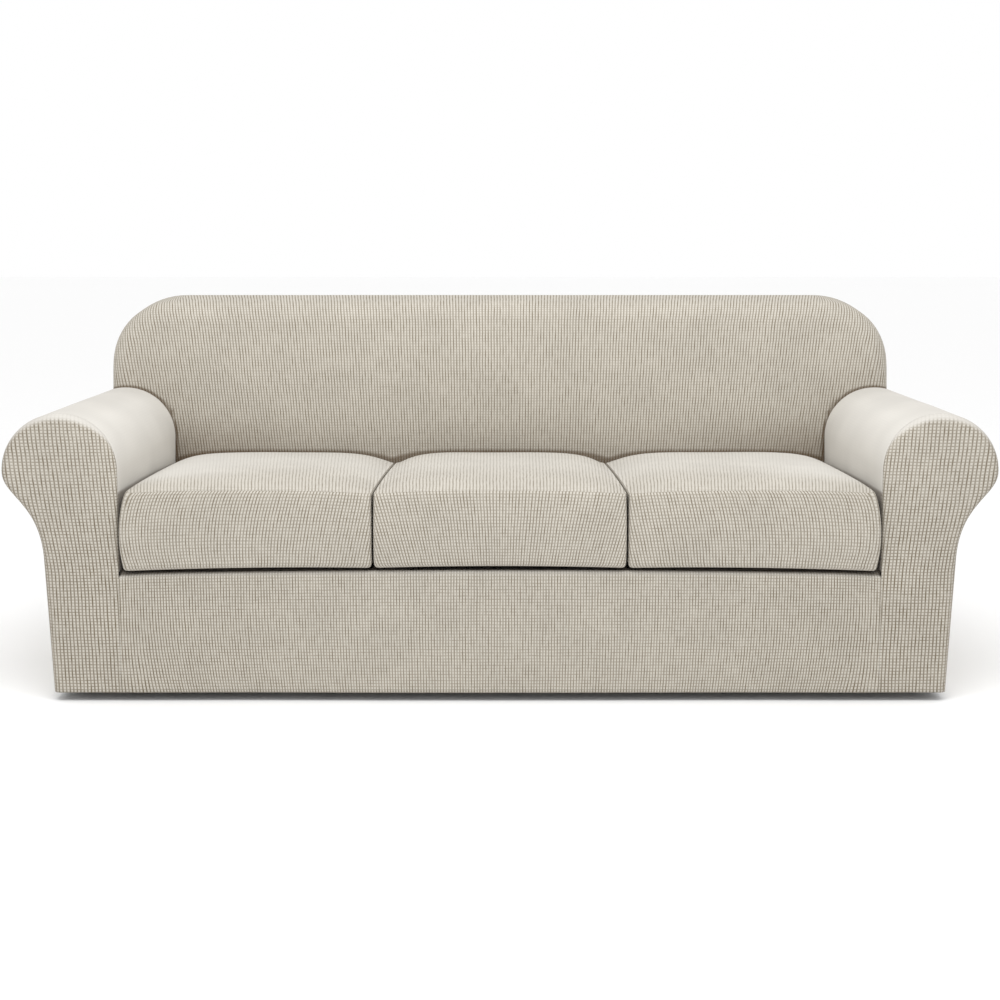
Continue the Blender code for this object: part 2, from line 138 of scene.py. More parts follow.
# The seat cushion covers
CUSHION_SPACING = 0.562  # from middle to middle
CUSHION_HALF = 0.2790  # half the width, where it's widest
CUSHION_FRONT = -0.015  # they stand out from the front faces
CUSHION_REAR_GAP = 0.004  # to the inside back
CUSHION_LENGTH = SEAT_DEPTH - CUSHION_REAR_GAP - CUSHION_FRONT
CUSHION_FOOT = SEAT_HEIGHT + 0.011
SEAT_SAG = 0.009  # how much lower the cushions' foot and the apron's edge are beside the arms
CUSHION_FOOT_ARCH = 0.003  # how much higher the foot is at the middle of each side
CUSHION_EDGE_HEIGHT = 0.449  # of the edge between the top and the band
CUSHION_EDGE_ARCH = 0.007  # how much higher the front edge is at its middle
CUSHION_CROWN = 0.018  # how high the top stands over its edge
CROWN_POWER = 7  # the more, the flatter the crown and the steeper its rim
CUSHION_FALL = 0.009  # the band is drawn in by this much at its edges,
CUSHION_FALL_OUTER = 0.013  # by this much beside an arm,
CUSHION_FALL_INNER = 0.0015  # and by this much between two cushions
CUSHION_OUTER_EASE = 0.003  # between its widest place and the arm
CUSHION_CORNER = 0.009  # radius of the front corners in plan,
CUSHION_CORNER_OUTER = 0.022  # and of the rear ones, and of one by an arm at the band's edges
CUSHION_FOOT_ROUND = 0.014  # radius of the foot's edge,
CUSHION_FOOT_ROUND_SIDE = 0.006  # which goes in by this much at the sides
CUSHION_TURN_UNDER = 0.045  # the strip of band that is turned under
CUSHION_REAR_DROP = 0.020  # how much lower the rear corners are
CUSHION_TAPER = 0.010  # how far the rear leans to the seat's middle at an inner side
BAND_WAVE = 0.85  # the share of half a sine wave that a band stands out by, from top to bottom,
BAND_FULLNESS = 0.6  # and its power, below 1 for a fuller band

# The height of the slow swells of a hand-fitted sheet
ARM_SWELL, ARM_FRONT_SWELL, BACK_SWELL = 0.0012, 0.0008, 0.0022
REAR_SWELL, APRON_SWELL, CUSHION_SWELL = 0.003, 0.002, 0.0016

# The check: knitted 7 by 7 mm, and stretched across by these shares
RIB_PITCH = 0.0070
COURSE_PITCH = 0.0070
GROOVE_DEPTH = 0.0008
BACK_STRETCH, CUSHION_STRETCH, APRON_STRETCH, ARM_STRETCH = 1.10, 1.05, 0.91, 1.12
# and how deep its level grooves are
BACK_LEVEL, CUSHION_LEVEL, APRON_LEVEL, ARM_LEVEL = 0.70, 0.90, 0.95, 1.10
# A cushion cover's ribs fan out
TOP_FAN = 0.3  # on its top, by this share for each metre back,
OUTER_FAN, MIDDLE_FAN = 0.15, 0.33  # and on its front, by this much where most for each metre up,
OUTER_FAN_FROM = 0.75  # an outer one's from this share of the way from its middle to its arm

# How much of the check shows, 1 in full
ARM_CHECK = 0.06  # on an arm, where the cloth is pulled smooth,
UNDER_ROLL_CHECK = 0.80  # and this much more of it below the roll
ROLL_EDGE_CHECK = 0.1  # on an arm front, round its turned edge
DECK_CHECK = 0.3
CUSHION_CHECK = 0.82  # on a cushion's top, at its front,
OUTER_TOP_FADE, MIDDLE_TOP_FADE = 0.45, 0.36  # and this much less of it further back
BESIDE_ARM_FADE = 0.8  # the share that an outer cushion's top loses of it towards its arm,
BAND_FOOT_FADE = 0.5  # a band where it turns under,
APRON_EDGE_FADE = 0.4  # and the apron at its top edge
# The extra check low on the arm fronts and at the apron's ends deepens the check there, and it also
# darkens them as painted shade.
LOW_CHECK_AND_SHADE_GAIN = 0.12  # the share more of it low on an arm front and at the apron's ends

# The share by which the cloth is painted darker, as painted shade
BESIDE_CUSHION_DARK = 0.6  # on an arm, beside a cushion,
CREST_DARK = 0.10  # on the roll's crest,
ROLL_SEAM_DARK = 0.7  # and in the roll's seam with the inside back
ROLL_EDGE_DARK = 0.30  # on an arm front's turned edge, at its outer side
BACK_JOINT_DARK = 0.65  # on the inside back, in its joints,
BACK_BY_ARM_DARK = 0.08  # by an arm,
BACK_BY_CUSHION_DARK = 0.14  # by a cushion,
BACK_CORNER_DARK = 0.22  # and between the two
UNDER_DARK = 0.75  # where the apron turns in and a band turns under, and on the deck

# ---------------------------------------------------------------- arrays and paths


def at(across, depth, height):
    """Arrays of places in the frame: depth starts at the front face and height at the hem."""
    across, depth, height = np.broadcast_arrays(across, depth, height)
    return np.stack((across, depth + FRONT, height + HEM), axis=-1)


def pair(first, second):
    """Two arrays as one array of pairs."""
    return np.stack(np.broadcast_arrays(first, second), axis=-1)


def spread(first, last, gap=GAP):
    """Even numbers from first to last, about gap apart."""
    return np.linspace(first, last, max(1, round(abs(last - first) / gap)) + 1)


def chain(*stops):
    """Numbers from stop to stop with the gap that stands between them: stop, gap, stop, ..."""
    parts = [spread(stops[k], stops[k + 2], stops[k + 1])[1:] for k in range(0, len(stops) - 2, 2)]
    return np.concatenate([[stops[0]], *parts])


def smooth(value, low, high):
    """0 before low, 1 past high, and between them three times the square of the share of the way,
    less twice its cube. High may be less than low."""
    t = np.clip((value - low) / (high - low), 0, 1)
    return t * t * (3 - 2 * t)


def run_along(path):
    """Distance of each point of a path from its first one, along it."""
    return np.concatenate(([0.0], np.cumsum(np.linalg.norm(np.diff(path, axis=0), axis=1))))


def resample(path, count):
    """The path with count + 1 points at even distances along it."""
    run = run_along(path)
    wanted = np.linspace(0, run[-1], count + 1)
    return np.column_stack([np.interp(wanted, run, column) for column in path.T])


def left_of(path):
    """Unit vectors to the left of a path's way at each of its points."""
    way = np.gradient(path, axis=0)
    way /= np.linalg.norm(way, axis=1, keepdims=True)
    return np.column_stack((-way[:, 1], way[:, 0]))


def fill(left, top, right, bottom):
    """A grid between four edges (Coons patch): what the left and right edges give, plus what the
    bottom and top edges give, less what the four corners give. Left and right run up."""
    v = np.linspace(0, 1, len(left))[:, None, None]
    u = np.linspace(0, 1, len(bottom))[None, :, None]
    sideways = (1 - u) * left[:, None] + u * right[:, None]
    upwards = (1 - v) * bottom[None] + v * top[None]
    low = (1 - u) * bottom[0] + u * bottom[-1]
    high = (1 - u) * top[0] + u * top[-1]
    return sideways + upwards - (1 - v) * low - v * high


def quarter_turn(steps):
    """Even angles from 0 to a quarter turn."""
    return np.linspace(0, math.pi / 2, steps + 1)


def swell(across, along, seed):
    """Slow swells: four sines of lengths from 0.9 to 0.2 m, longer ones higher, about 1 at most."""
    chance = np.random.default_rng(seed)
    total = 0
    for length in (0.9, 0.55, 0.33, 0.2):
        heading, phase = chance.uniform(0, 2 * math.pi, 2)
        way = across * math.cos(heading) + along * math.sin(heading)
        total = total + math.sqrt(length) * np.sin(2 * math.pi * way / length + phase)
    return total / 2


# ---------------------------------------------------------------- from arrays to a sheet


def sew(name, patches, outwards, level):
    """One panel from its patches. Spots that coincide are joined, the faces turned to look outwards
    on the whole, and Solidify adds the cloth's thickness behind them. Level is how deep its level
    grooves are: shallow where the cloth is pulled more along its ribs than across."""
    columns, faces, first = [[], [], [], []], [], 0
    for spots, flat, check, painted_shade in patches:
        shape = spots.shape[:2]
        number = first + np.arange(shape[0] * shape[1]).reshape(shape)
        corners = number[:-1, :-1], number[:-1, 1:], number[1:, 1:], number[1:, :-1]
        faces.append(np.stack(corners, axis=-1).reshape(-1, 4))
        first += number.size
        columns[0].append(spots.reshape(-1, 3))
        columns[1].append(flat.reshape(-1, 2))
        columns[2].append(np.broadcast_to(check, shape).ravel())
        columns[3].append(np.broadcast_to(painted_shade, shape).ravel())
    spots, flat, check, painted_shade = map(np.concatenate, columns)
    faces = np.concatenate(faces)
    data = bpy.data.meshes.new(name)
    data.vertices.add(len(spots))
    data.vertices.foreach_set("co", spots.ravel())
    data.loops.add(faces.size)
    data.loops.foreach_set("vertex_index", faces.ravel())
    data.polygons.add(len(faces))
    data.polygons.foreach_set("loop_start", np.arange(0, faces.size, 4))
    data.uv_layers.new(name="flat_cloth").data.foreach_set("uv", flat[faces.ravel()].ravel())
    for key, values in (("check", check), ("painted_shade", painted_shade), ("level", np.full(len(spots), level))):
        data.attributes.new(key, "FLOAT", "POINT").data.foreach_set("value", values)
    data.update(calc_edges=True)

    sheet = bmesh.new()
    sheet.from_mesh(data)
    bmesh.ops.remove_doubles(sheet, verts=sheet.verts[:], dist=WELD)
    bmesh.ops.recalc_face_normals(sheet, faces=sheet.faces[:])
    if sum(face.normal.dot(outwards) * face.calc_area() for face in sheet.faces) < 0:
        bmesh.ops.reverse_faces(sheet, faces=sheet.faces[:])
    sheet.to_mesh(data)
    sheet.free()
    data.shade_smooth()
    piece = bpy.data.objects.new(name, data)
    bpy.context.scene.collection.objects.link(piece)
    thickness = piece.modifiers.new("cloth", "SOLIDIFY")
    thickness.thickness = CLOTH
    thickness.offset = -1
    return piece


UP, DOWN, FORWARDS, BACKWARDS = (0, 0, 1), (0, 0, -1), (0, -1, 0), (0, 1, 0)
MIRROR = np.array((-1, 1))  # turns (across, height) on the right into the same on the left

# ---------------------------------------------------------------- the base cover's curves


def inside_back(across, height):
    """Depth of the inside back: a raked plane, crowned forwards between the arms as half a sine up
    and a parabola across, and rounded off by a quarter circle at each side."""
    across = np.abs(across)
    depth = SEAT_DEPTH + BACK_RAKE * (height - SEAT_HEIGHT)
    rise = (height - BACK_CROWN_FROM) / (BACK_HEIGHT - BACK_ROUND - BACK_CROWN_FROM)
    crown = np.sin(math.pi * np.clip(rise, 0, 1)) * np.clip(1 - (across / FACE_HALF) ** 2, 0, 1)
    past_edge = np.clip((across - (BACK_HALF - BACK_ROUND)) / BACK_ROUND, 0, 1)
    return depth - BACK_CROWN * crown + BACK_ROUND * (1 - np.sqrt(1 - past_edge**2))


def roll_top(across, radius):
    """Height of a circle round the roll's centre, and of the centre itself beside it."""
    return ROLL_HEIGHT + np.sqrt(np.clip(radius**2 - (np.abs(across) - ROLL_X) ** 2, 0, None))


def off_arm(across, height):
    """Distance of a spot on the inside back from the arm's surface."""
    across = np.abs(across)
    over = np.hypot(across - ROLL_X, height - ROLL_HEIGHT) - ROLL_RADIUS
    return np.where(height > ROLL_HEIGHT, over, SEAT_HALF - across)


def bezier(a, b, c, d, count):
    """Cubic curve of four points, as count + 1 points."""
    t = np.linspace(0, 1, count + 1)[:, None]
    a, b, c, d = map(np.array, (a, b, c, d))
    return (1 - t) ** 3 * a + 3 * (1 - t) ** 2 * t * b + 3 * (1 - t) * t**2 * c + t**3 * d


def arm_section():
    """(across, height) of the right arm from the inner wall's foot at the deck, over the roll, in
    under it and down the outer wall to the hem, and the number of its point beside the back."""
    inner = pair(SEAT_HALF, spread(SEAT_HEIGHT, ROLL_HEIGHT, FINE))
    meet = math.acos((ROLL_X - BACK_HALF) / ROLL_RADIUS)
    turn = chain(0, FINE / ROLL_RADIUS, meet, FINE / ROLL_RADIUS, math.pi)
    roll = pair(ROLL_X - ROLL_RADIUS * np.cos(turn), ROLL_HEIGHT + ROLL_RADIUS * np.sin(turn))
    lean = (WALL_TOP_X - WALL_HEM_X) / WALL_TOP_HEIGHT
    side = ROLL_X + ROLL_RADIUS
    tuck = bezier(
        (side, ROLL_HEIGHT),
        (side, ROLL_HEIGHT - TUCK_TOP_HANDLE),
        (WALL_TOP_X + lean * TUCK_FOOT_HANDLE, WALL_TOP_HEIGHT + TUCK_FOOT_HANDLE),
        (WALL_TOP_X, WALL_TOP_HEIGHT),
        round((ROLL_HEIGHT - WALL_TOP_HEIGHT) / FINE),
    )
    down = spread(WALL_TOP_HEIGHT, 0, FINE)
    wall = pair(WALL_HEM_X + lean * down, down)
    at_meet = len(inner) - 1 + int(np.argmin(np.abs(turn - meet)))
    return np.concatenate((inner, roll[1:], tuck[1:], wall[1:])), at_meet


def arm_round(run):
    """Radius of the arm's front edge at a distance up its section from the deck: none at the deck,
    small beside the cushions, and full from a third of the way over the roll."""
    wall = ROLL_HEIGHT - SEAT_HEIGHT
    over = smooth(run, wall, wall + ROLL_RADIUS * math.pi / 3)
    return ARM_ROUND_INNER * smooth(run, 0, 0.03) + (ARM_ROUND - ARM_ROUND_INNER) * over


def back_corner(turn):
    """(across, height) of the back's right top corner, turn running from its side to its top."""
    across = FACE_HALF + BACK_CORNER * np.cos(turn) ** CORNER_FULLNESS
    return pair(across, SIDE_TOP + BACK_CORNER * np.sin(turn) ** CORNER_FULLNESS)


# ---------------------------------------------------------------- the base cover's panels


def make_arm(name, side):
    """Inner wall, roll, tuck and outer wall. Its front edge lies against the arm front's lip. Up to
    the back's side it ends in a seam with the inside back, turning in by a quarter ellipse."""
    section, meet = arm_section()
    run = run_along(section)

    def sample(wanted):
        """(across, height, run, outward way) at these distances along the section."""
        columns = *section.T, run, *left_of(section).T
        return np.column_stack([np.interp(wanted, run, column) for column in columns])

    edge_low, edge_high = CUSHION_BESIDE
    inner = sample(chain(0, WIDE_GAP, edge_low, CLOSE_GAP, edge_high, GAP, run[meet]))
    outer = sample(spread(run[meet], run[-1]))
    seam = inside_back(np.minimum(inner[:, 0], BACK_HALF), inner[:, 1])

    def patch(path, depth, sink, seam_painted_shade):
        """The section carried to these depths, out by its swells and in by what it sinks."""
        height, along, upward = path[:, 1:2], path[:, 2:3], path[:, 4:5]
        rise = ARM_SWELL * swell(depth, along, 11 if side > 0 else 12)
        rise = rise * smooth(depth, 0.05, 0.15) * smooth(depth, 0.5, 0.35) - sink
        spots = path[:, None, :2] + path[:, None, 3:] * rise[..., None]
        under_roll = smooth(along, run[meet], run[meet] + 0.2)
        back = np.clip((depth - CUSHION_FRONT) / CUSHION_LENGTH, 0, 1)
        cushion_edge = CUSHION_EDGE_HEIGHT - CUSHION_REAR_DROP * back**2
        # Painted shade: darker on the wall below a cushion's edge and a little on the roll's crest.
        beside_cushion = smooth(height - cushion_edge, 0.003, -0.005) * (1 - under_roll)
        crest = smooth(upward, 0.80, 1.0) * (1 - smooth(depth, 0.55, 0.75))
        painted_shade = seam_painted_shade * (1 - BESIDE_CUSHION_DARK * beside_cushion) * (1 - CREST_DARK * crest)
        flat = pair(depth / ARM_STRETCH, along)
        check = ARM_CHECK + UNDER_ROLL_CHECK * under_roll
        return at(side * spots[..., 0], depth, spots[..., 1]), flat, check, painted_shade

    first = arm_round(inner[:, 2]) + LIP
    rows = np.linspace(0, 1, round((SEAT_DEPTH - SINK_RUN) / GAP) + 1)
    straight = first[:, None] + (seam - SINK_RUN - first)[:, None] * rows
    turned = seam[:, None] - SINK_RUN * (1 - np.sin(quarter_turn(8)))[1:]
    depth = np.concatenate((straight, turned), axis=1)
    to_seam = np.clip(1 - (seam[:, None] - depth) / SINK_RUN, 0, 1)
    fade = smooth(run[meet] - inner[:, 2], 0, SINK_FADE)[:, None]
    sink = SINK_DEPTH * (1 - np.sqrt(1 - to_seam**2)) * fade
    # Painted shade in the seam with the inside back, where the surface sinks in.
    seam_painted_shade = 1 - ROLL_SEAM_DARK * smooth(sink, 0.4 * SINK_DEPTH, 0.8 * SINK_DEPTH)
    seat_side = patch(inner, depth, sink, seam_painted_shade)

    behind = spread(depth[-1, -1], REAR_SEAM)[1:]
    share = (depth[-1] - depth[-1, 0]) / (depth[-1, -1] - depth[-1, 0])
    first = arm_round(outer[:, 2]) + LIP
    depth = first[:, None] + (depth[-1, -1] - first)[:, None] * share
    depth = np.concatenate((depth, np.broadcast_to(behind, (len(outer), len(behind)))), axis=1)
    outer_side = patch(outer, depth, np.zeros_like(depth), 1.0)
    return sew(name, [seat_side, outer_side], UP, ARM_LEVEL)


def rib_lean(across, height):
    """How far out an arm front's ribs have moved from where they stand at the hem: evenly up the
    column, more over the roll, and further where the outer edge swings out over the tuck."""
    over = np.clip(height - ROLL_LEAN_FROM, 0, None)
    outer = np.clip((across - SEAT_HALF) / TUCK_LEAN_AT, 0, None)
    swung = outer**2 * smooth(height, TUCK_LEAN_FROM, TUCK_LEAN_FULL)
    return COLUMN_LEAN * height + ROLL_LEAN * over + TUCK_LEAN * swung


def make_arm_front(name, side):
    """The scroll front and its column: a Coons patch inside the edge, pillowed as half a sine
    across to a power below 1, and the edge, which turns back by a quarter circle."""
    section, _ = arm_section()
    path = np.concatenate((pair(SEAT_HALF, spread(0, SEAT_HEIGHT, FINE)), section[1:]))
    run = run_along(path)
    first_split = ROLL_HEIGHT + ROLL_RADIUS * math.pi / 4
    last_split = ROLL_HEIGHT + ROLL_RADIUS * math.pi * 3 / 4
    up, top = 96, 30
    wanted = np.concatenate(
        (
            np.linspace(0, first_split, up + 1),
            np.linspace(first_split, last_split, top + 1)[1:],
            np.linspace(last_split, run[-1], up + 1)[1:],
        )
    )
    rim = np.column_stack([np.interp(wanted, run, column) for column in path.T])
    rim_out = np.column_stack([np.interp(wanted, run, column) for column in left_of(path).T])
    rim_out[-1] = (1, 0)
    radius = arm_round(wanted - SEAT_HEIGHT)

    inset = rim - rim_out * radius[:, None]
    left, crest, right = inset[: up + 1], inset[up : up + top + 1], inset[up + top :][::-1]
    bottom = pair(np.linspace(left[0, 0], right[0, 0], top + 1), 0.0)
    face = fill(left, crest, right, bottom)
    v = np.linspace(0, 1, up + 1)[:, None]
    u = np.linspace(0, 1, top + 1)[None]
    pillow = ARM_PILLOW * smooth(v, 0.0, 0.7) * smooth(v, 1.0, 0.85) ** 0.6
    pillow = pillow + ARM_FRONT_SWELL * swell(face[..., 0], face[..., 1], 21) * (1 - v**4)
    pillow = pillow * np.clip(np.sin(math.pi * u), 0, 1) ** 0.8

    def flat(spots):
        """Places in the flat cloth: across less the ribs' lean, and less by the stretch."""
        lean = rib_lean(spots[..., 0], spots[..., 1])
        return pair(side * (spots[..., 0] - lean) / ARM_STRETCH, spots[..., 1])

    turn = quarter_turn(6)[:, None]
    edge = np.concatenate((rim - rim_out * (radius * (1 - np.sin(turn)))[..., None], rim[None]))
    back = np.concatenate((radius * (1 - np.cos(turn)), [radius + LIP]))
    past = np.concatenate((radius * turn, [radius * math.pi / 2 + LIP]))
    turned_flat = flat(inset + rim_out * past[..., None])
    outward, upward = np.clip(rim_out.T, 0, 1)
    fading = smooth(past + 0.014 * upward**2, 0.027, 0.014)
    edge_check = ROLL_EDGE_CHECK + (1 - ROLL_EDGE_CHECK) * fading
    # Painted shade on the turned edge, most at its outer side, which faces away from the light.
    edge_painted_shade = 1 - ROLL_EDGE_DARK * smooth(past, 0, 0.024) * (0.3 + 0.7 * outward)
    # More check low on the column: a deeper check, and painted shade, as it darkens the cloth
    # there.
    check = 1 + LOW_CHECK_AND_SHADE_GAIN * smooth(face[..., 1], 0.5, 0.25)
    grid = at(side * face[..., 0], -pillow, face[..., 1]), flat(face), check, 1.0
    turned = at(side * edge[..., 0], back, edge[..., 1]), turned_flat, edge_check, edge_painted_shade
    return sew(name, [grid, turned], FORWARDS, ARM_LEVEL)


def cushion_rear_height(across):
    """Height at which the cushion in front touches the inside back."""
    local = across - CUSHION_SPACING * np.clip(np.round(across / CUSHION_SPACING), -1, 1)
    share = np.clip(np.abs(local) / CUSHION_HALF, 0, 1)
    return CUSHION_EDGE_HEIGHT - CUSHION_REAR_DROP * share**5


def back_painted_shade(across, height):
    """Painted shade on the inside back: darkest in its joints with the arms and cushions, then
    slowly lighter, and darker again between the two."""
    to_arm, to_cushion = off_arm(across, height), height - cushion_rear_height(across)
    joint = np.maximum(smooth(to_arm, 0.007, 0.002), smooth(to_cushion, 0.016, 0.006))
    near = BACK_BY_ARM_DARK * smooth(to_arm, 0.12, 0)
    near = near + BACK_BY_CUSHION_DARK * smooth(to_cushion, 0.11, 0)
    near = near + BACK_CORNER_DARK * smooth(to_arm, 0.40, 0.05) * smooth(to_cushion, 0.14, 0.02)
    return (1 - BACK_JOINT_DARK * joint) * (1 - near)


def back_flat(across, height):
    """Ribs that close up towards the foot: each stands at its place at the top, times one less than
    its fall times the fan."""
    return pair(across / (1 + BACK_FAN * (height - BACK_HEIGHT)) / BACK_STRETCH, height)


def make_back_inside(name):
    """The inside back down to the deck, the quarter round along its sides and top, and the strip
    over them to the rear seam, which arches up between its front and rear edges as half a sine."""
    turns = quarter_turn(18)
    corner, outs = back_corner(turns), pair(np.cos(turns), np.sin(turns))
    ends = BACK_CLOSE_FROM
    middle = chain(-FACE_HALF, CLOSE_GAP, -ends, BACK_GAP, ends, CLOSE_GAP, FACE_HALF)
    rim = np.concatenate((corner[:-1] * MIRROR, pair(middle, BACK_HEIGHT), corner[-2::-1]))
    rim_out = np.concatenate((outs[:-1] * MIRROR, pair(0 * middle, 1.0), outs[-2::-1]))
    inset = rim - BACK_ROUND * rim_out

    def face(across, height, to_rim):
        """A patch of the inside back, its swells dying out towards the rim and the sides."""
        quiet = (1 - to_rim**4) * np.clip(1 - np.abs(across / (BACK_HALF - BACK_ROUND)) ** 8, 0, 1)
        depth = inside_back(across, height) - BACK_SWELL * swell(across, height, 31) * quiet
        # Painted shade in the back's joints and corners.
        painted_shade = back_painted_shade(across, height)
        return at(across, depth, height), back_flat(across, height), 1.0, painted_shade

    foot = roll_top(inset[:, 0], ROLL_RADIUS - FOOT_LAP)
    near = np.array(BACK_JOINT_ROWS)[:, None]
    share = np.linspace(0, 1, 34)[1:, None]
    above = foot + near[-1] + (inset[:, 1] - foot - near[-1]) * share
    height, to_rim = np.concatenate((foot + near, above)), np.concatenate((0 * near, share))
    upper = face(np.broadcast_to(inset[:, 0], height.shape), height, to_rim)
    low, high = CUSHION_JOINT
    below = chain(SEAT_HEIGHT, WIDE_GAP, low, CLOSE_GAP, high, GAP, ROLL_HEIGHT)[:, None]
    behind_arm = SEAT_HALF + FOOT_LAP
    wide = np.concatenate(([-behind_arm], middle, [behind_arm]))
    lower = face(np.broadcast_to(wide, (len(below), len(wide))), below, 0 * below)

    rows = 30
    up_side = np.linspace(0, 1, rows + 1)[:-1]
    whole = np.concatenate((pair(-BACK_HALF, up_side), rim, pair(BACK_HALF, up_side[::-1])))
    ones, zeros = np.ones(rows), np.zeros(rows)
    out = np.concatenate((pair(-ones, zeros), rim_out, pair(ones, zeros)))
    on_side = np.concatenate((ones, 0 * rim[:, 0], ones)) > 0
    round_off = quarter_turn(8)[:, None]
    boxing = np.linspace(0, 1, 25)[1:, None]
    turn = np.concatenate((round_off, np.full(boxing.shape, math.pi / 2)))
    back = np.concatenate((0 * round_off, boxing))
    pull = BACK_ROUND * (1 - np.sin(turn))
    x = whole[:, 0] - out[:, 0] * pull
    side_foot = roll_top(x, ROLL_RADIUS - FOOT_LAP)
    side_up = side_foot + (SIDE_TOP - side_foot) * whole[:, 1]
    up = np.where(on_side, side_up, whole[:, 1] - out[:, 1] * pull)
    front = SEAT_DEPTH + BACK_RAKE * (up - SEAT_HEIGHT) + BACK_ROUND * (1 - np.cos(turn))
    depth = front + (REAR_SEAM - front) * back
    arch = TOP_CROWN * np.sin(math.pi * back) * np.clip(out[:, 1], 0, None)
    past = BACK_ROUND * turn + (REAR_SEAM - front) * back
    flat = back_flat(whole[:, 0] - out[:, 0] * BACK_ROUND, up[0]) / pair(1 + WRAP_FAN * past, 1.0)
    flat = flat + out * past[..., None]
    # The back's painted shade fades out over the strip to the rear seam.
    wrap = at(x, depth, up + arch), flat, 1.0, 1 - (1 - back_painted_shade(x, up)) * (1 - back)
    return sew(name, [upper, lower, wrap], FORWARDS, BACK_LEVEL)


def make_back_outside(name):
    """The rear panel: a Coons patch inside an edge that turns forwards by a quarter circle, along
    the arms' outline and the back's."""
    section, meet = arm_section()
    hem_up = section[meet:][::-1]
    side = pair(BACK_HALF, spread(hem_up[-1, 1], SIDE_TOP, FINE))[1:]
    half = 45
    corner = back_corner(quarter_turn(2 * half))[1:]
    top = pair(spread(FACE_HALF, 0, FINE), BACK_HEIGHT)[1:]
    up_path = np.concatenate((hem_up, side, corner[:half]))
    top_path = np.concatenate((corner[half - 1 :], top))
    right = resample(up_path, round(run_along(up_path)[-1] / GAP))
    top_right = resample(top_path, round(run_along(top_path)[-1] / GAP))
    left, top_left = (right * MIRROR)[-2::-1], (top_right * MIRROR)[-2::-1]
    rim = np.concatenate((right, top_right[1:], top_left, left))
    out = -left_of(rim)
    out[0], out[-1] = (1, 0), (-1, 0)
    inset = rim - REAR_ROUND * out
    n, t = len(right), 2 * len(top_right) - 1
    right_in, top_in, left_in = inset[:n], inset[n - 1 : n + t - 1][::-1], inset[n + t - 2 :][::-1]
    bottom = pair(np.linspace(left_in[0, 0], right_in[0, 0], t), 0.0)
    face = fill(left_in, top_in, right_in, bottom)
    v = np.linspace(0, 1, n)[:, None]
    u = np.linspace(0, 1, t)[None]
    quiet = np.clip(np.sin(math.pi * u), 0, 1) ** 0.5 * (1 - v**6)
    hollow = REAR_SWELL * np.abs(swell(face[..., 0], face[..., 1], 41)) * quiet
    spots = at(face[..., 0], OVERALL_DEPTH - hollow, face[..., 1])
    grid = spots, face / (BACK_STRETCH, 1), 1.0, 1.0
    turn = quarter_turn(5)[:, None]
    edge = np.concatenate((inset + out * (REAR_ROUND * np.sin(turn))[..., None], rim[None]))
    depth = np.concatenate((OVERALL_DEPTH - REAR_ROUND * (1 - np.cos(turn)), [[REAR_SEAM]]))
    past = np.concatenate((REAR_ROUND * turn, [[REAR_ROUND * math.pi / 2 + LIP]]))
    flat = (inset + out * past[..., None]) / (BACK_STRETCH, 1)
    turned = at(edge[..., 0], depth, edge[..., 1]), flat, 1.0, 1.0
    return sew(name, [grid, turned], BACKWARDS, BACK_LEVEL)


def make_front_apron(name):
    """Up from the hem, then over the seat's front edge by a quarter circle to the deck. The edge
    stands a little over the deck, and sags towards the arms as a square. The ribs are drawn to the
    middle below, most at five sixths of the way to each arm."""
    turn = quarter_turn(8)[1:]
    face = pair(0.0, spread(0, SEAT_HEIGHT - APRON_ROUND))
    over = pair(APRON_ROUND * (1 - np.cos(turn)), SEAT_HEIGHT - APRON_ROUND * (1 - np.sin(turn)))
    section = np.concatenate((face, over, [(APRON_DEPTH, SEAT_HEIGHT)]))
    run = run_along(section)[:, None]
    ends, close = APRON_CLOSE_FROM, APRON_CLOSE_GAP
    across = chain(-SEAT_HALF, close, -ends, GAP, ends, close, SEAT_HALF)[None]
    quiet = 1 - np.abs(across / SEAT_HALF) ** 10
    relief = APRON_SWELL * swell(across, run, 51) * quiet
    relief = relief * smooth(run, SEAT_HEIGHT - APRON_ROUND, 0.15)
    sag = SEAT_SAG * (across / SEAT_HALF) ** 2 - APRON_LIFT * (1 - (across / SEAT_HALF) ** 24)
    sag = sag * (section[:, 1:] / SEAT_HEIGHT) ** 4
    sag = sag * (1 - (section[:, :1] / APRON_DEPTH) ** 4)
    spots = at(across, section[:, :1] - relief, section[:, 1:] - sag)
    outer = np.abs(across)
    drop = APRON_PULL_DROP * smooth(outer, APRON_PULL_AT, APRON_PULL_END)
    pull = (outer / APRON_PULL_AT) ** 1.5 * (1 - drop)
    pull = APRON_PULL * np.minimum(pull, 1) * np.clip(1 - run / SEAT_HEIGHT, 0, 1) ** 2.5
    flat = pair((across + np.sign(across) * pull) / APRON_STRETCH, run)
    # More check at the apron's ends: a deeper check, and painted shade, as it darkens the cloth
    # there.
    check = 1 + LOW_CHECK_AND_SHADE_GAIN * smooth(outer, 0.3, 0.8)
    check = check * (1 - APRON_EDGE_FADE * smooth(run, SEAT_HEIGHT - 0.012, SEAT_HEIGHT - 0.002))
    # Painted shade where the apron turns in under the cushions.
    painted_shade = 1 - UNDER_DARK * smooth(section[:, :1], 0.004, 0.014)
    return sew(name, [(spots, flat, check, painted_shade)], FORWARDS, APRON_LEVEL)


def make_seat_deck(name):
    """The plain panel under the cushions, darkened by painted shade for the cushions' shade."""
    share = np.linspace(0, 1, 60)[:, None]
    across = spread(-FACE_HALF, FACE_HALF)[None]
    depth = APRON_DEPTH + (inside_back(across, SEAT_HEIGHT) - APRON_DEPTH) * share
    patch = at(across, depth, SEAT_HEIGHT), pair(across, depth), DECK_CHECK, 1 - UNDER_DARK
    return sew(name, [patch], UP, APRON_LEVEL)


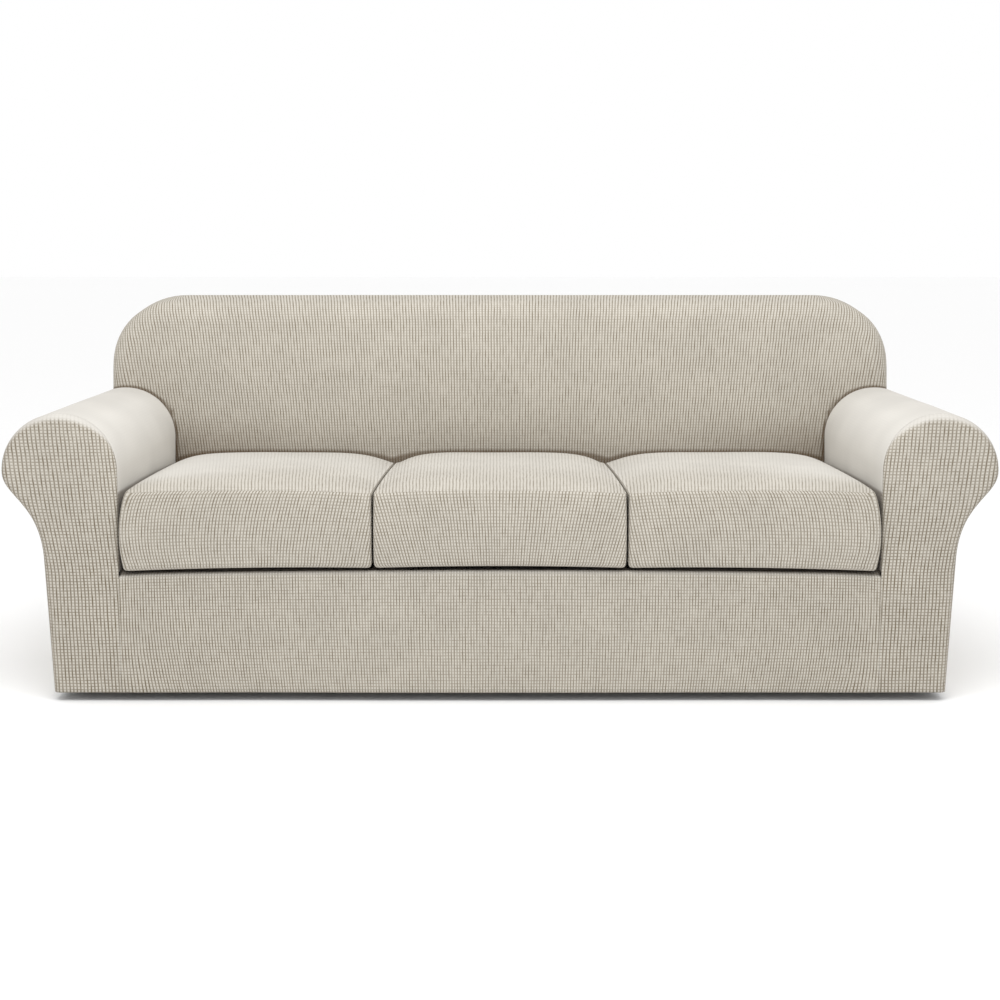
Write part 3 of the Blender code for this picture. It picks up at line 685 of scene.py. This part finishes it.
# ---------------------------------------------------------------- the seat cushion covers


def plan_sides():
    """The four sides of a plan, each from the middle of one rounded corner to the middle of the
    next: for each point the share of the way from corner to corner, and the outward angle."""
    sides = []
    for corner, straight in enumerate((54, 58, 54, 58)):  # as many steps on each side
        bend = np.radians(np.linspace(0, 45, 6))
        angle = np.concatenate((bend - math.pi / 4, np.zeros(straight - 1), bend))
        share = np.concatenate((0 * bend, np.linspace(0, 1, straight + 1)[1:-1], 0 * bend + 1))
        sides.append((share, angle + math.pi / 2 * (corner - 1)))
    return sides


def rounded_sides(left, right, near, far, radii):
    """(x, run) along the four sides of rounded rectangles, one for each row of their edges' places.
    The radii are of the corners front left, front right, rear right and rear left."""
    centre_x = left + radii[0], right - radii[1], right - radii[2], left + radii[3]
    centre_run = near + radii[0], near + radii[1], far - radii[2], far - radii[3]
    sides = []
    for k, (share, angle) in enumerate(plan_sides()):
        ends = []
        for corner in (k, (k + 1) % 4):
            radius = radii[corner][:, None]
            x = centre_x[corner][:, None] + radius * np.cos(angle)
            ends.append(pair(x, centre_run[corner][:, None] + radius * np.sin(angle)))
        sides.append(ends[0] + (ends[1] - ends[0]) * share[:, None])
    return sides


def cushion_sides(number, stand_out, foot):
    """(x, run) along the front, right, rear and left of cushion -1, 0 or 1, row by row down its
    band. stand_out runs from 0, drawn in, to 1, at its widest; foot is how far under the edge has
    turned, from 0 to 1, and past 1 how far in the turned-under cloth reaches."""
    under, foot, drawn_in = np.clip(foot - 1, 0, None), np.clip(foot, 0, 1), 1 - stand_out
    inward = []
    for outer in (number == -1, number == 1):
        ease, fall = (CUSHION_OUTER_EASE, CUSHION_FALL_OUTER) if outer else (0, CUSHION_FALL_INNER)
        fallen = ease + fall * drawn_in
        inward.append(fallen + CUSHION_FOOT_ROUND_SIDE * foot + CUSHION_TURN_UNDER * under)
    ends = CUSHION_FALL * drawn_in + CUSHION_FOOT_ROUND * foot + CUSHION_TURN_UNDER * under
    small = CUSHION_CORNER + 0 * drawn_in
    large = CUSHION_CORNER + (CUSHION_CORNER_OUTER - CUSHION_CORNER) * drawn_in
    rear = CUSHION_CORNER_OUTER + 0 * drawn_in
    radii = large if number == -1 else small, large if number == 1 else small, rear, rear
    left, right = inward[0] - CUSHION_HALF, CUSHION_HALF - inward[1]
    return rounded_sides(left, right, ends, CUSHION_LENGTH - ends, radii)


def on_cushion(number, x, run, height):
    """Places at x from the middle of cushion -1, 0 or 1, and run behind its front. Its rear leans
    as the back does, and its inner sides lean towards the middle of the seat."""
    back, share = run / CUSHION_LENGTH, x / CUSHION_HALF
    towards_middle = share if number == 0 else (number - share) / 2
    across = number * CUSHION_SPACING + x - CUSHION_TAPER * back * towards_middle
    return at(across, CUSHION_FRONT + run + BACK_RAKE * (height - SEAT_HEIGHT) * back, height)


def towards_rim(x, run):
    """How near a spot on a cushion's top is to its sides, and to its front or rear: 0 to 1 each."""
    share = np.abs(x) / (CUSHION_HALF - CUSHION_FALL)
    back = np.abs(2 * run / CUSHION_LENGTH - 1) / (1 - 2 * CUSHION_FALL / CUSHION_LENGTH)
    return np.clip(share, 0, 1), np.clip(back, 0, 1)


def cushion_top_height(x, run):
    """Height of the top panel: a flat crown that falls steeply at the rim. The rim arches up in
    front and is lower towards the rear corners."""
    (share, end), back = towards_rim(x, run), run / CUSHION_LENGTH
    crown = CUSHION_CROWN * (1 - share**CROWN_POWER) * (1 - end**CROWN_POWER)
    arch = CUSHION_EDGE_ARCH * (1 - share**3) * (1 - back) ** 2
    drop = CUSHION_REAR_DROP * share**5 * back**2
    return CUSHION_EDGE_HEIGHT + (arch - drop) + crown


def cushion_flat(number, x, run, down):
    """Places in the flat cloth. On the top the ribs fan out to the rear. On the front they fan out
    upwards, on an outer cushion from its arm, on the middle one from its middle."""
    share = np.clip(x / CUSHION_HALF, -1, 1) - number * OUTER_FAN_FROM
    fan = OUTER_FAN if number else MIDDLE_FAN
    lean = fan * np.sign(share) * np.abs(share) ** 0.8 * down
    across = (number * CUSHION_SPACING + x) / (1 + TOP_FAN * run) + lean
    return pair(across / CUSHION_STRETCH, run - down)


def make_cushion_top(name, number):
    """The crowned top panel, a Coons patch in plan."""
    none = np.zeros(1)
    front, right, rear, left = [side[0] for side in cushion_sides(number, none, none)]
    plan = fill(left[::-1], rear[::-1], right, front)
    x, run = plan[..., 0], plan[..., 1]
    (share, end), back = towards_rim(x, run), run / CUSHION_LENGTH
    relief = CUSHION_SWELL * swell(x, run, 61 + number) * (1 - share**4) * (1 - end**4)
    towards_arm = smooth(number * x / CUSHION_HALF, -0.2, 0.9) if number else 0
    fading = (OUTER_TOP_FADE if number else MIDDLE_TOP_FADE) * smooth(back, 0.05, 0.6)
    check = CUSHION_CHECK - fading
    check = check * (1 - BESIDE_ARM_FADE * towards_arm * smooth(back, 0.02, 0.3))
    spots = on_cushion(number, x, run, cushion_top_height(x, run) + relief)
    patch = spots, cushion_flat(number, x, run, 0 * x), check, 1.0
    return sew(name, [patch], UP, CUSHION_LEVEL)


def make_cushion_band(name, number):
    """The band from the top's edge down, which stands out as most of half a sine to a power below
    1, is rounded under and turns in below. It starts and ends at the rear left corner."""
    tall, bent, level = 24, 7, 5  # rows of the grid down the band, round its foot and under it
    down = np.concatenate((np.linspace(0, 1, tall), np.ones(bent + level)))
    turned = np.full(level, math.pi / 2)
    turn = np.concatenate((np.zeros(tall), quarter_turn(bent)[1:], turned))
    under = np.concatenate((np.zeros(tall + bent), np.linspace(0, 1, level + 1)[1:]))
    stand_out = np.sin(BAND_WAVE * math.pi * down) ** BAND_FULLNESS
    front, right, rear, left = cushion_sides(number, stand_out, 1 - np.cos(turn) + under)
    rings = np.concatenate((left[:, :-1], front[:, :-1], right[:, :-1], rear), axis=1)
    x, run = rings[..., 0], rings[..., 1]
    middle_x, middle_run = towards_rim(x[0], run[0])
    foot = CUSHION_FOOT + CUSHION_FOOT_ARCH * (1 - np.minimum(middle_x, middle_run) ** 2)
    foot = foot - SEAT_SAG * ((number * CUSHION_SPACING + x) / SEAT_HALF) ** 2
    top = cushion_top_height(x, run)
    height = top + (foot + CUSHION_FOOT_ROUND - top) * down[:, None]
    height = height - CUSHION_FOOT_ROUND * np.sin(turn)[:, None]
    widest, start = tall // 2, left.shape[1] - 1
    around = run_along(rings[widest])
    around = around - around[start] + x[widest, start]
    straight = CUSHION_EDGE_HEIGHT - CUSHION_FOOT - CUSHION_FOOT_ROUND
    fallen = straight * down + CUSHION_FOOT_ROUND * turn + CUSHION_TURN_UNDER * under
    flat = cushion_flat(number, around[None], 0.0, fallen[:, None])
    check = (1 - BAND_FOOT_FADE * smooth(turn, 0.4, 1.3))[:, None]
    # Painted shade where the band turns under.
    painted_shade = (1 - UNDER_DARK * smooth(turn, 0.7, 1.4))[:, None]
    spots = on_cushion(number, x, run, height)
    return sew(name, [(spots, flat, check, painted_shade)], DOWN, CUSHION_LEVEL)


# ---------------------------------------------------------------- cloth


def colour(hex_code):
    """Linear RGBA of an sRGB hex value."""
    parts = [int(hex_code[k : k + 2], 16) / 255 for k in (1, 3, 5)]
    return (*[p / 12.92 if p <= 0.04045 else ((p + 0.055) / 1.055) ** 2.4 for p in parts], 1.0)


def add(tree, kind, links=(), **settings):
    """A node with its settings; links maps its inputs to other nodes' outputs or to values."""
    node = tree.nodes.new(kind)
    for key, value in settings.items():
        setattr(node, key, value)
    for key, source in dict(links).items():
        if isinstance(source, bpy.types.NodeSocket):
            tree.links.new(source, node.inputs[key])
        else:
            node.inputs[key].default_value = source
    return node


def check_knit():
    """Polyester and elastane jersey, knitted with a small raised check: soft light squares between
    darker grooves, the upright grooves the deeper. Matt, with a little sheen from its fuzz."""
    material = bpy.data.materials.new("knitted_check_jersey")
    material.use_nodes = True
    tree = material.node_tree
    shader = tree.nodes["Principled BSDF"]
    shader.inputs["Roughness"].default_value = 0.92
    shader.inputs["Specular IOR Level"].default_value = 0.12
    shader.inputs["Sheen Weight"].default_value = 0.06
    shader.inputs["Sheen Roughness"].default_value = 0.5

    cloth = add(tree, "ShaderNodeUVMap", uv_map="flat_cloth").outputs["UV"]
    place = add(tree, "ShaderNodeTexCoord").outputs["Object"]
    plain = add(tree, "ShaderNodeAttribute", attribute_name="check").outputs["Fac"]
    painted_shade = add(tree, "ShaderNodeAttribute", attribute_name="painted_shade").outputs["Fac"]
    depth = add(tree, "ShaderNodeAttribute", attribute_name="level").outputs["Fac"]

    # The ribs wander by up to 1 mm, as a knit does when it is pulled on by hand: the noise stays
    # within about a third of its whole range from the middle.
    whole_range = 0.003
    wander = add(tree, "ShaderNodeTexNoise", {"Vector": place, "Scale": 16.0, "Detail": 2.0})
    half = {0: wander.outputs["Color"], 1: (0.5, 0.5, 0.5)}
    centred = add(tree, "ShaderNodeVectorMath", half, operation="SUBTRACT").outputs[0]
    shift = {0: centred, "Scale": whole_range}
    shift = add(tree, "ShaderNodeVectorMath", shift, operation="SCALE").outputs[0]
    moved = add(tree, "ShaderNodeVectorMath", {0: cloth, 1: shift}, operation="ADD").outputs[0]
    axes = add(tree, "ShaderNodeSeparateXYZ", {0: moved})

    def groove(axis, pitch, narrow):
        """Grooves a pitch apart: half of one more than a cosine, to a power that narrows them."""
        turns = {0: axes.outputs[axis], 1: 2 * math.pi / pitch}
        phase = add(tree, "ShaderNodeMath", turns, operation="MULTIPLY").outputs[0]
        wave = add(tree, "ShaderNodeMath", {0: phase}, operation="COSINE").outputs[0]
        raised = {0: wave, 1: 0.5, 2: 0.5}
        raised = add(tree, "ShaderNodeMath", raised, operation="MULTIPLY_ADD").outputs[0]
        return add(tree, "ShaderNodeMath", {0: raised, 1: narrow}, operation="POWER").outputs[0]

    def patchy(scale, low, high):
        """A number that changes over stretches of this many to the metre, each way."""
        stretched = add(tree, "ShaderNodeMapping", {"Vector": cloth, "Scale": scale}).outputs[0]
        noise = add(tree, "ShaderNodeTexNoise", {"Vector": stretched, "Scale": 1.0, "Detail": 1.0})
        ends = {"From Min": 0.32, "From Max": 0.68, "To Min": low, "To Max": high}
        return add(tree, "ShaderNodeMapRange", {"Value": noise.outputs["Fac"], **ends}).outputs[0]

    # Each groove is darker or lighter than the next, and changes along it every few centimetres.
    upright, level = groove("X", RIB_PITCH, 2.0), groove("Y", COURSE_PITCH, 2.0)
    deeper = patchy((150, 30, 1), 0.65, 0.95)
    shallower = patchy((40, 150, 1), 0.39, 0.63)
    upright = add(tree, "ShaderNodeMath", {0: upright, 1: deeper}, operation="MULTIPLY").outputs[0]
    level = add(tree, "ShaderNodeMath", {0: level, 1: shallower}, operation="MULTIPLY").outputs[0]
    level = add(tree, "ShaderNodeMath", {0: level, 1: depth}, operation="MULTIPLY").outputs[0]
    check = add(tree, "ShaderNodeMath", {0: upright, 1: level}, operation="MAXIMUM").outputs[0]
    shown = {0: check, 1: plain}
    shown = add(tree, "ShaderNodeMath", shown, operation="MULTIPLY", use_clamp=True).outputs[0]
    # Where the check stands out, its squares are a little darker, as each shades its own sides.
    squares = {"Factor": plain, "A": colour("#D0CDC7"), "B": colour("#C6C1B7")}
    squares = add(tree, "ShaderNodeMix", squares, data_type="RGBA").outputs["Result"]
    yarns = {"Factor": shown, "A": squares, "B": colour("#665A46")}
    tint = add(tree, "ShaderNodeMix", yarns, data_type="RGBA").outputs["Result"]
    # Painted shade: the less the shade attribute, the more the colour is mixed to a warm dark
    # brown, which stands in for the shade in folds and joints and under the cushions.
    painted_shade_mix = {"Factor": painted_shade, "A": colour("#4A3416"), "B": tint}
    painted_shade_mix = add(tree, "ShaderNodeMix", painted_shade_mix, data_type="RGBA").outputs["Result"]
    mottled = {0: painted_shade_mix, "Scale": patchy((9, 9, 1), 0.97, 1.03)}
    final = add(tree, "ShaderNodeVectorMath", mottled, operation="SCALE").outputs[0]
    tree.links.new(final, shader.inputs["Base Color"])
    relief = {"Height": shown, "Distance": GROOVE_DEPTH, "Strength": 0.6}
    bump = add(tree, "ShaderNodeBump", relief, invert=True).outputs[0]
    tree.links.new(bump, shader.inputs["Normal"])
    return material


# ---------------------------------------------------------------- the whole cover

# Node, its maker, which one, its size when stretched, and its area if it isn't a rectangle
PANELS = (
    ("back_inside", make_back_inside, (), (2.45, 0.92), 1.62),
    ("back_outside", make_back_outside, (), (2.20, 0.87), 1.78),
    ("front_apron", make_front_apron, (), (1.69, 0.30), None),
    ("seat_deck", make_seat_deck, (), (1.69, 0.57), None),
    ("arm_left", make_arm, (-1,), (0.87, 1.42), 0.88),
    ("arm_right", make_arm, (1,), (0.87, 1.42), 0.88),
    ("arm_front_left", make_arm_front, (-1,), (0.28, 0.64), 0.13),
    ("arm_front_right", make_arm_front, (1,), (0.28, 0.64), 0.13),
    ("cushion_top_left", make_cushion_top, (-1,), (0.56, 0.60), None),
    ("cushion_top_middle", make_cushion_top, (0,), (0.56, 0.60), None),
    ("cushion_top_right", make_cushion_top, (1,), (0.56, 0.60), None),
    ("cushion_band_left", make_cushion_band, (-1,), (2.31, 0.23), 0.48),
    ("cushion_band_middle", make_cushion_band, (0,), (2.31, 0.23), 0.48),
    ("cushion_band_right", make_cushion_band, (1,), (2.31, 0.23), 0.48),
)

knit = check_knit()
for node, maker, which, size, area in PANELS:
    panel = maker(node + "_cloth", *which)
    panel.data.materials.append(knit)
    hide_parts(node)
    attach(panel, "root")

# ---------------------------------------------------------------- camera, floor and light

CAMERA_DISTANCE = 3.176  # in front of the front face
CAMERA_HEIGHT = 0.9956  # above the hem
CAMERA_PITCH = 5.34  # degrees down
FILM_WIDTH, LENS = 36, 52.65  # millimetres
CAMERA_SHIFT = -0.12  # share of the picture's side
HEM_TO_FLOOR = 0.020
FLOOR_REACH = 40
SOFTBOX_PLACE = (0, -1.7, 1.5)
SOFTBOX_TILT = 48  # degrees to the rear from straight down
SOFTBOX_SIZE = (3.2, 0.9)
SOFTBOX_WATTS = 36

camera = bpy.data.objects.new("camera", bpy.data.cameras.new("camera"))
camera.location = (0, FRONT - CAMERA_DISTANCE, HEM + CAMERA_HEIGHT)
camera.rotation_euler = (math.radians(90 - CAMERA_PITCH), 0, 0)
camera.data.sensor_width = FILM_WIDTH
camera.data.lens = LENS
camera.data.shift_y = CAMERA_SHIFT
bpy.context.scene.collection.objects.link(camera)
bpy.context.scene.camera = camera

floor_data = bpy.data.meshes.new("floor")
corners = [(x, y, HEM - HEM_TO_FLOOR) for x, y in ((-1, -1), (1, -1), (1, 1), (-1, 1))]
corners = [(x * FLOOR_REACH, y * FLOOR_REACH, z) for x, y, z in corners]
floor_data.from_pydata(corners, [], [(0, 1, 2, 3)])
floor = bpy.data.objects.new("floor", floor_data)
bpy.context.scene.collection.objects.link(floor)
paint = bpy.data.materials.new("matt_white_paint")
paint.use_nodes = True
paint.node_tree.nodes["Principled BSDF"].inputs["Base Color"].default_value = colour("#FCFCFC")
paint.node_tree.nodes["Principled BSDF"].inputs["Roughness"].default_value = 0.9
floor_data.materials.append(paint)

world = bpy.data.worlds.new("studio")
world.use_nodes = True
world.node_tree.nodes["Background"].inputs["Color"].default_value = (1, 1, 1, 1)
world.node_tree.nodes["Background"].inputs["Strength"].default_value = 1.0
bpy.context.scene.world = world
bpy.context.scene.view_settings.view_transform = "Standard"

softbox = bpy.data.lights.new("overhead_softbox", "AREA")
softbox.shape = "RECTANGLE"
softbox.size, softbox.size_y = SOFTBOX_SIZE
softbox.energy = SOFTBOX_WATTS
lamp = bpy.data.objects.new("overhead_softbox", softbox)
lamp.location = SOFTBOX_PLACE
lamp.rotation_euler = (math.radians(SOFTBOX_TILT), 0, 0)
bpy.context.scene.collection.objects.link(lamp)
